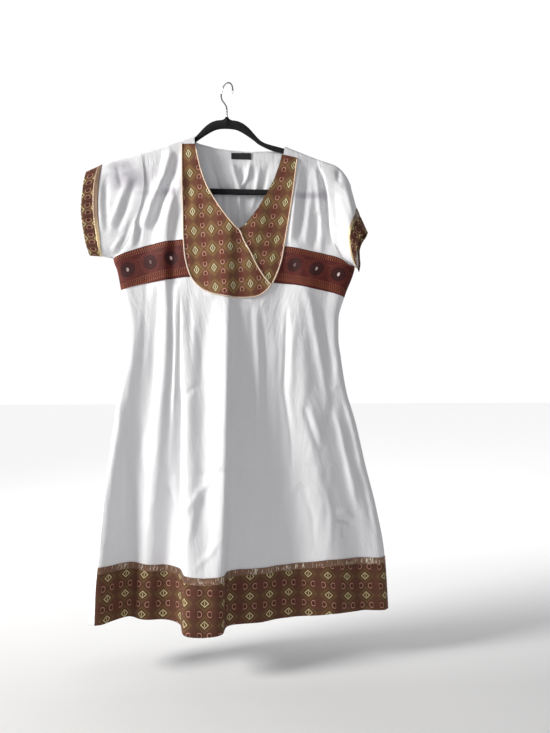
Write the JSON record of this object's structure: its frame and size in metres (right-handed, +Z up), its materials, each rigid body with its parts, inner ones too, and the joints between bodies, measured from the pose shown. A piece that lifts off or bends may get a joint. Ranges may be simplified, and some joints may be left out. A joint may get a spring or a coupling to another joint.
{
  "type": "habesha kemis dress on a flocked coat hanger",
  "caption": "White cotton habesha kemis with printed bib, cuffs and hem and woven bust bands, hanging on a black flocked hanger.",
  "frame": {"origin": "inside top of the hanger hook's arc, where a rail touches it", "axes": "+Z up, +X to the right of a viewer who faces the front, front faces -Y; the hanger lies in the plane Y = 0"},
  "size_m": [0.6141, 0.1478, 1.065],
  "materials": {
    "white_cotton": "fine plain-woven white cotton, slightly see-through, soft creases",
    "printed_cotton": "cotton printed with a small olive, rust, cream and pink geometric repeat",
    "maroon_ribbon": "wide woven ribbon with round motifs and tick-stitch rows along both edges",
    "cream_piping": "thin cream piping",
    "gold_ribbon": "narrow crinkled metallic gold-brown ribbon",
    "black_label": "blank black woven label",
    "black_velvet": "black flocking over plastic",
    "chrome": "bright plated wire"
  },
  "bodies": {
    "root": {"front_panel": "white_cotton", "back_panel": "white_cotton", "sleeve_left": "white_cotton", "sleeve_right": "white_cotton", "cuff_left": "printed_cotton", "cuff_right": "printed_cotton", "cuff_trim_left": "gold_ribbon", "cuff_trim_right": "gold_ribbon", "bib_over": "printed_cotton", "bib_under": "printed_cotton", "bib_piping": "cream_piping", "neck_piping": "cream_piping", "bust_band_left": "maroon_ribbon", "bust_band_right": "maroon_ribbon", "hem_band": "printed_cotton", "hem_ribbon": "gold_ribbon", "neck_label": "black_label", "hanger_body": "black_velvet", "hanger_hook": "chrome"}
  },
  "joints": []
}
